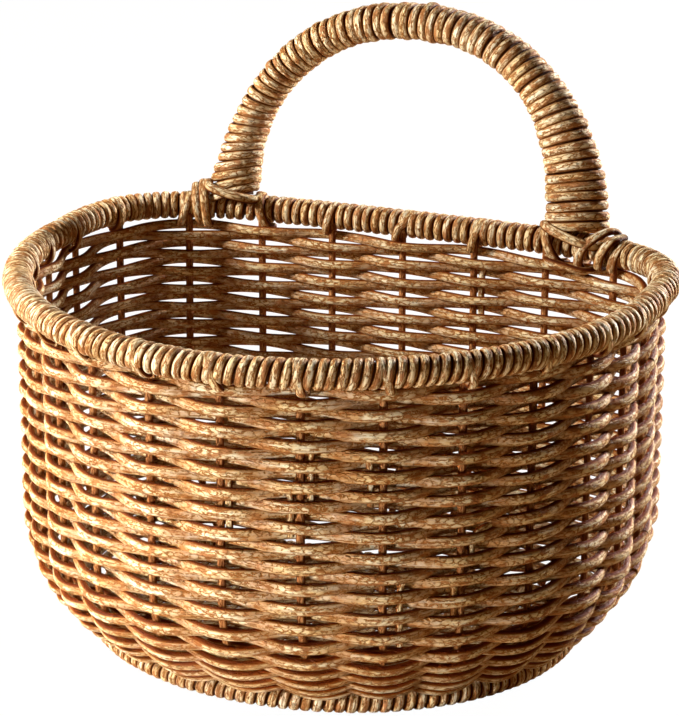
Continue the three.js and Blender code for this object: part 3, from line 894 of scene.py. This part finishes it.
# Floor. A mat of thin weavers crosses flat rods from front to back. It rests on five stouter rods
# between the sides of the foot hoop, and its ends reach in under the hoop's wrap.
woven, woven_in, woven_out = new_tree(
    "woven floor",
    (
        ("Reach", "Float", 0.0009),
        ("Spacing", "Float", 0.0115),
        ("Width", "Float", 0.0052),
        ("Thickness", "Float", 0.0019),
        ("Material", "Material", None),
    ),
)
strand_path = guide_curve(woven, woven_in)
strand_place = add_node(woven, "GeometryNodeInputPosition").outputs["Position"]
strand_axes = add_node(woven, "ShaderNodeSeparateXYZ", {0: strand_place}).outputs
phase = calculate(woven, "DIVIDE", strand_axes[0], woven_in["Spacing"])
phase = plus(woven, phase, read_attribute(woven, "phase"))
wave = calculate(woven, "COSINE", times(woven, phase, math.pi))
wave = times(woven, wave, read_attribute(woven, "wave"))
wave = times(woven, wave, woven_in["Reach"])
rise = add_node(woven, "ShaderNodeCombineXYZ", {2: wave}).outputs[0]
strand_path = shift(woven, strand_path, rise)
lay_cane(woven, woven_in, woven_out, strand_path, {"Sides": 8})

floor_outline = outline(0.1453, 0.1328, 0.0713, 2.05, 3.3)


def floor_reach(across):
    """How far the floor goes to the front and the back at a distance from the middle."""
    share = min(abs(across) / floor_outline[0], 1.0)
    front = floor_outline[1] * (1 - share ** floor_outline[3]) ** (1 / floor_outline[3])
    back = floor_outline[2] * (1 - share ** floor_outline[4]) ** (1 / floor_outline[4])
    return plan_middle - front, plan_middle + back


floor_lines = []
rod_spacing = 0.0115
row_spacing = 0.0056
mat_height = 0.0072
point_spacing = 0.0019
for number in range(-11, 12):
    near, far = floor_reach(number * rod_spacing)
    depth = np.linspace(near + 0.001, far - 0.001, 24)
    across = np.full(len(depth), number * rod_spacing)
    points = np.stack([across, depth, np.full(len(depth), mat_height)], axis=1)
    floor_lines.append(
        guide_line(points, outward=(0.0, 0.0, 1.0), phase=0.0, wave=0.0, start=number * 0.77)
    )
rows = int((floor_outline[1] + floor_outline[2]) / row_spacing)
for number in range(rows):
    depth = plan_middle - floor_outline[1] + (number + 0.5) * row_spacing
    # The row goes as far to both sides as the outline has room for it.
    limit = floor_outline[0]
    while limit > 0.004:
        near, far = floor_reach(limit)
        if near < depth - 0.002 and depth + 0.002 < far:
            break
        limit -= 0.001
    if limit <= 0.004:
        continue
    across = np.linspace(-limit, limit, max(int(2 * limit / point_spacing), 8))
    points = np.stack(
        [across, np.full(len(across), depth), np.full(len(across), mat_height)], axis=1
    )
    floor_lines.append(
        guide_line(
            points, outward=(0.0, 0.0, 1.0), phase=float(number % 2), wave=1.0, start=number * 1.9
        )
    )
floor_mat = make_piece("floor_weave", floor_lines, woven, {}, weaver_rattan)
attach(floor_mat, "root")
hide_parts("floor_mat")

# Floor rods. Five plain stout rods cross under the mat from front to back, with their ends under
# the foot hoop's wrap. They are seen only from below.
stout_rod = 0.0046
stout_spacing = 0.046
stout_height = 0.0028
for number in range(5):
    across = (number - 2) * stout_spacing
    near, far = floor_reach(abs(across) + stout_rod / 2)
    depth = np.linspace(near, far, 30)
    middle = np.full(len(depth), across)
    points = np.stack([middle, depth, np.full(len(depth), stout_height)], axis=1)
    rod_line = guide_line(points, outward=(0.0, 0.0, 1.0), start=number * 0.9)
    rod = make_piece(
        f"stout_rod_{number + 1:02d}",
        [rod_line],
        rod_tree,
        {"Width": stout_rod, "Thickness": stout_rod, "Sides": 14},
        stake_rattan,
    )
    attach(rod, "root")
    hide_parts(f"floor_rod_{number + 1:02d}")

# Handle. A bundle of canes, kept here as one core, is bent to an arch that leans back, and wound
# from foot to foot with one long cane. It is thicker where it meets the rim.
handle_lean = math.radians(11.8)
arch_up = np.array([0, math.sin(handle_lean), math.cos(handle_lean)])
arch_back = np.array([0, math.cos(handle_lean), -math.sin(handle_lean)])
right_span = 0.114
left_span = 0.118
arch_height = 0.128
arch_power = 2.18
rim_half_width, _, _, _, rim_back_power = rim_shape
right_foot_turn = math.acos((right_span / rim_half_width) ** (rim_back_power / 2))
left_foot_turn = math.pi - math.acos((left_span / rim_half_width) ** (rim_back_power / 2))
right_foot_depth = outline_point(rim_shape, np.array([right_foot_turn]))[0][1]
left_foot_depth = outline_point(rim_shape, np.array([left_foot_turn]))[0][1]


def arch_point(angle):
    cos = np.cos(angle)
    span = np.where(cos < 0, left_span, right_span)
    across = span * np.sign(cos) * np.abs(cos) ** (2 / arch_power)
    rise = arch_height * np.abs(np.sin(angle)) ** (2 / arch_power)
    depth = right_foot_depth + (left_foot_depth - right_foot_depth) * angle / math.pi
    base = np.stack([across, depth, np.full(len(across), rim_height)], axis=1)
    return base + arch_up * rise[:, None]


handle_depth = 0.029
handle_thickness = 0.0225
right_swell = 0.0185
right_swell_run = 0.085
left_swell = 0.0125
left_swell_run = 0.038
winding_thickness = 0.0038
winding_end = 0.0075
arch_angles = np.linspace(0, math.pi, 4001)
arch_steps = np.linalg.norm(np.diff(arch_point(arch_angles), axis=0), axis=1)
arch_lengths = np.concatenate([[0], np.cumsum(arch_steps)])
arch_length = arch_lengths[-1]


def arch_thickness(distance):
    """The handle has one thickness for most of its length, and swells towards each foot."""
    right = right_swell * np.exp(-((distance / right_swell_run) ** 2))
    left = left_swell * np.exp(-(((arch_length - distance) / left_swell_run) ** 2))
    return handle_thickness + right + left


def arch_guide(begin, end, steps):
    """A guide along the arch. One turn hangs loose at the top, and those at the feet are tilted."""
    distance = np.linspace(begin, end, steps)
    angle = np.interp(distance, arch_lengths, arch_angles)
    points = arch_point(angle)
    along = unit(arch_point(angle + 1e-4) - arch_point(angle - 1e-4))
    out = -unit(np.cross(arch_back, along))
    loose_turn = 0.0018 * np.exp(-(((distance - arch_length / 2 + 0.01) / 0.003) ** 2))
    right_tilt = 0.003 * np.exp(-((distance / 0.03) ** 2))
    left_tilt = 0.0075 * np.exp(-(((arch_length - distance) / 0.075) ** 2))
    return guide_line(
        points,
        outward=out,
        out_reach=arch_thickness(distance) / 2 - winding_thickness + loose_turn,
        side_reach=handle_depth / 2 - winding_thickness,
        tilt=right_tilt + left_tilt,
    )


handle_cane = make_piece(
    "handle_cane",
    [arch_guide(winding_end, arch_length - winding_end, 400)],
    wound_cane,
    {
        "Turns": 62,
        "Steps": 24,
        "Width": 0.006,
        "Thickness": 0.0042,
        "Looseness": 0.0009,
        "Seed": 11,
    },
    wrap_cane,
)
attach(handle_cane, "root")
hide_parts("handle_wrap")

# Rim. The hoop is wound all round with cane, each turn lying against the next. The winding stops
# at each foot of the handle, so it is made in two lengths.
right_reach = 0.0205
left_reach = 0.0175
right_foot = distance_at(rim_shape, right_foot_turn)
left_foot = distance_at(rim_shape, left_foot_turn)
for name, begin, end, seed in (
    ("front", left_foot + left_reach, rim_length + right_foot - right_reach, 31),
    ("back", right_foot + right_reach, left_foot - left_reach, 32),
):
    rim_guide = hoop_guide(rim_shape, rim_height, begin, end - begin, 0.0044, 0.0044)
    rim_cane = make_piece(
        "rim_cane_" + name,
        [rim_guide],
        wound_cane,
        {
            "Turns": round((end - begin) / 0.006),
            "Steps": 20,
            "Width": 0.0057,
            "Thickness": 0.0045,
            "Slant": 0.0008,
            "Looseness": 0.0006,
            "Seed": seed,
        },
        wrap_cane,
    )
    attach(rim_cane, "root")
    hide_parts("rim_wrap_" + name)

# Lashings. Each foot of the handle is tied down on the rim by a few turns of cane round the hoop,
# between the two lengths of the rim's winding.
for name, foot_distance, reach, turns, seed in (
    ("right", right_foot, right_reach, 6, 41),
    ("left", left_foot, left_reach, 5, 42),
):
    begin = foot_distance - reach + 0.0006
    lashing_guide = hoop_guide(rim_shape, rim_height, begin, 2 * reach - 0.0012, 0.0045, 0.0045)
    lashing = make_piece(
        "lashing_cane_" + name,
        [lashing_guide],
        wound_cane,
        {
            "Turns": turns,
            "Steps": 24,
            "Width": 0.0058,
            "Thickness": 0.0042,
            "Looseness": 0.0008,
            "Seed": seed,
        },
        wrap_cane,
    )
    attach(lashing, "root")
    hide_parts("lashing_" + name)

# Ties. At each stake one turn of cane is longer: it slants across the rim and passes round the top
# of the stake and the first weaver, and so hangs the wall on the rim.


def smooth_path(knots, steps):
    """A smooth curve through a few knots."""
    knots = np.asarray(knots, dtype=float)
    ends = np.concatenate([2 * knots[:1] - knots[1:2], knots, 2 * knots[-1:] - knots[-2:-1]])
    path = []
    for before, first, second, after in zip(ends, ends[1:], ends[2:], ends[3:]):
        t = np.linspace(0, 1, steps, endpoint=False)[:, None]
        slope = second - before
        bend = 2 * before - 5 * first + 4 * second - after
        twist = 3 * first - before - 3 * second + after
        path.append(0.5 * (2 * first + slope * t + bend * t ** 2 + twist * t ** 3))
    return np.concatenate(path + [knots[-1:]])


def beside_rim(distance, local):
    """Points given in mm along, out of and above the rim hoop, with their directions from it."""
    local = np.asarray(local) / 1000
    turn, _ = turns_at(rim_shape, distance + local[:, 0])
    out = outward_at(rim_shape, turn)
    up = np.array([0.0, 0.0, 1.0])
    points = outline_point(rim_shape, turn, rim_height) + out * local[:, 1:2] + up * local[:, 2:3]
    return points, unit(out * local[:, 1:2] + up * local[:, 2:3])


tie_lines = []
clear_of_foot = 0.022
for number in range(stake_count):
    distance = float(np.interp(number, stake_marks, stake_distances))
    if min(abs(distance - right_foot), abs(distance - left_foot)) < clear_of_foot:
        continue
    chance = np.random.default_rng(300 + number)
    angle = np.linspace(-1.9, 2 * math.pi - 1.5, 40)
    lean = chance.uniform(1.6, 3.4)
    drop_by = chance.uniform(1.6, 2.6)
    # In mm: along the rim, out of it and above it.
    local = np.stack(
        [
            -lean * np.sin(angle) + 0.9 * angle / math.pi,
            7.7 * np.cos(angle) - 1.1 * (1 - np.sin(angle)),
            7.2 * np.sin(angle) - drop_by * (1 - np.sin(angle)),
        ],
        axis=1,
    )
    points, out = beside_rim(distance, local)
    tie_lines.append(
        guide_line(points, outward=out, start=number * 0.63, size=chance.uniform(0.92, 1.08))
    )
stake_ties = make_piece(
    "stake_ties",
    tie_lines,
    rod_tree,
    {"Width": 0.0056, "Thickness": 0.0036, "Squareness": 0.1},
    wrap_cane,
)
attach(stake_ties, "root")

# Foot ties. Loose turns of the same cane cross over the front of each foot of the handle and go
# round the rim on both sides of it.
foot_tie_lines = []
# Each strand's knots are in mm along the rim from the foot's middle, out of the hoop and above it.
for foot_distance, knots in (
    (right_foot, (
        (25, 6, 3), (22, 2, 10), (17, -9, 12), (8, -15, 11),
        (-5, -17, 8.5), (-14, -15.5, 6.5), (-20, -10, 4.5), (-23, -1, 5),
    )),
    (right_foot, (
        (-27, 9, 2), (-26, 3, 12), (-22, -8, 11.5), (-14, -15.5, 4),
        (-9, -13, -6), (-7, -5, -11.5), (-6, 4, -10.5),
    )),
    (right_foot, ((21, 4, 9), (17, -9, 7.5), (13, -12, -1), (8, -9, -9), (6, 0, -11.5))),
    (right_foot, ((-31, 5, 9), (-30, -7, 8.5), (-25, -11.5, 0), (-22, -9, -8.5), (-21, 0, -11))),
    (right_foot, (
        (17, -3, -8.5), (13, -11, -9.5), (1, -13.5, -10.5),
        (-12, -12, -12), (-18, -4, -11),
    )),
    (left_foot, (
        (19, 9, 4), (19, 2, 15), (17.5, -9, 11),
        (16, -11.5, 0), (15, -9, -9), (14, 1, -12),
    )),
    (left_foot, (
        (24, 8, 2), (23.5, 1, 13), (23, -9, 7),
        (21.5, -11, -1), (20, -7, -9), (19, 1, -11),
    )),
    (left_foot, (
        (15, -4, 17), (12, -14.5, 16), (2, -17, 13.5), (-8, -16.5, 11),
        (-17, -11, 8.5), (-19, -4, 7.5), (-18, 3, 8.5),
    )),
    (left_foot, ((-19, 4, 8), (-20.5, -7, 8), (-22, -11, 0), (-25, -8, -8), (-27, 0, -11))),
):
    points, out = beside_rim(foot_distance, smooth_path(knots, 10))
    foot_tie_lines.append(guide_line(points, outward=out, start=len(foot_tie_lines) * 0.83))
foot_ties = make_piece(
    "foot_ties",
    foot_tie_lines,
    rod_tree,
    {"Width": 0.0062, "Thickness": 0.0042, "Squareness": 0.1},
    wrap_cane,
)
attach(foot_ties, "root")

# Tucked ends. Where a weaver runs out, the next one is started by turning its end down beside a
# stake, behind the strands of a few courses.
tuck_lines = []
# The stake's number, the mm beside it, and the mm below the rim where the end turns and stops.
for place, beside, top_drop, end_drop in (
    (18, 5.3, 60, 101),
    (19, 6.0, 41, 82),
    (19, -5.8, 66, 96),
    (20, -7.5, 49, 78),
    (20, 10.0, 121, 164),
    (21, -4.6, 127, 156),
    (21, 6.4, 98, 118),
    (4, -5.5, 20, 58),
    (11, 5.6, 70, 104),
):
    side = 1 if beside > 0 else -1
    knots = (
        (beside + side * 15, -1.5, top_drop - 1.5),
        (beside + side * 7, 1.6, top_drop - 0.5),
        (beside + side * 1.5, 2.6, top_drop + 1.5),
        (beside, 0.8, top_drop + 7),
        (beside - side * 0.3, 0.2, (top_drop + end_drop) / 2),
        (beside, 0.4, end_drop),
    )
    local = smooth_path(knots, 8) / 1000
    distance = float(np.interp(place, stake_marks, stake_distances))
    turn, _ = turns_at(rim_shape, distance + local[:, 0])
    points, along, out, up = wall_frame(turn, local[:, 2])
    tuck_lines.append(
        guide_line(points + out * local[:, 1:2], outward=out, start=len(tuck_lines) * 1.1)
    )
tucked_ends = make_piece(
    "tucked_ends",
    tuck_lines,
    rod_tree,
    {"Width": 0.0042, "Thickness": 0.0034, "Squareness": 0.1},
    weaver_rattan,
)
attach(tucked_ends, "root")
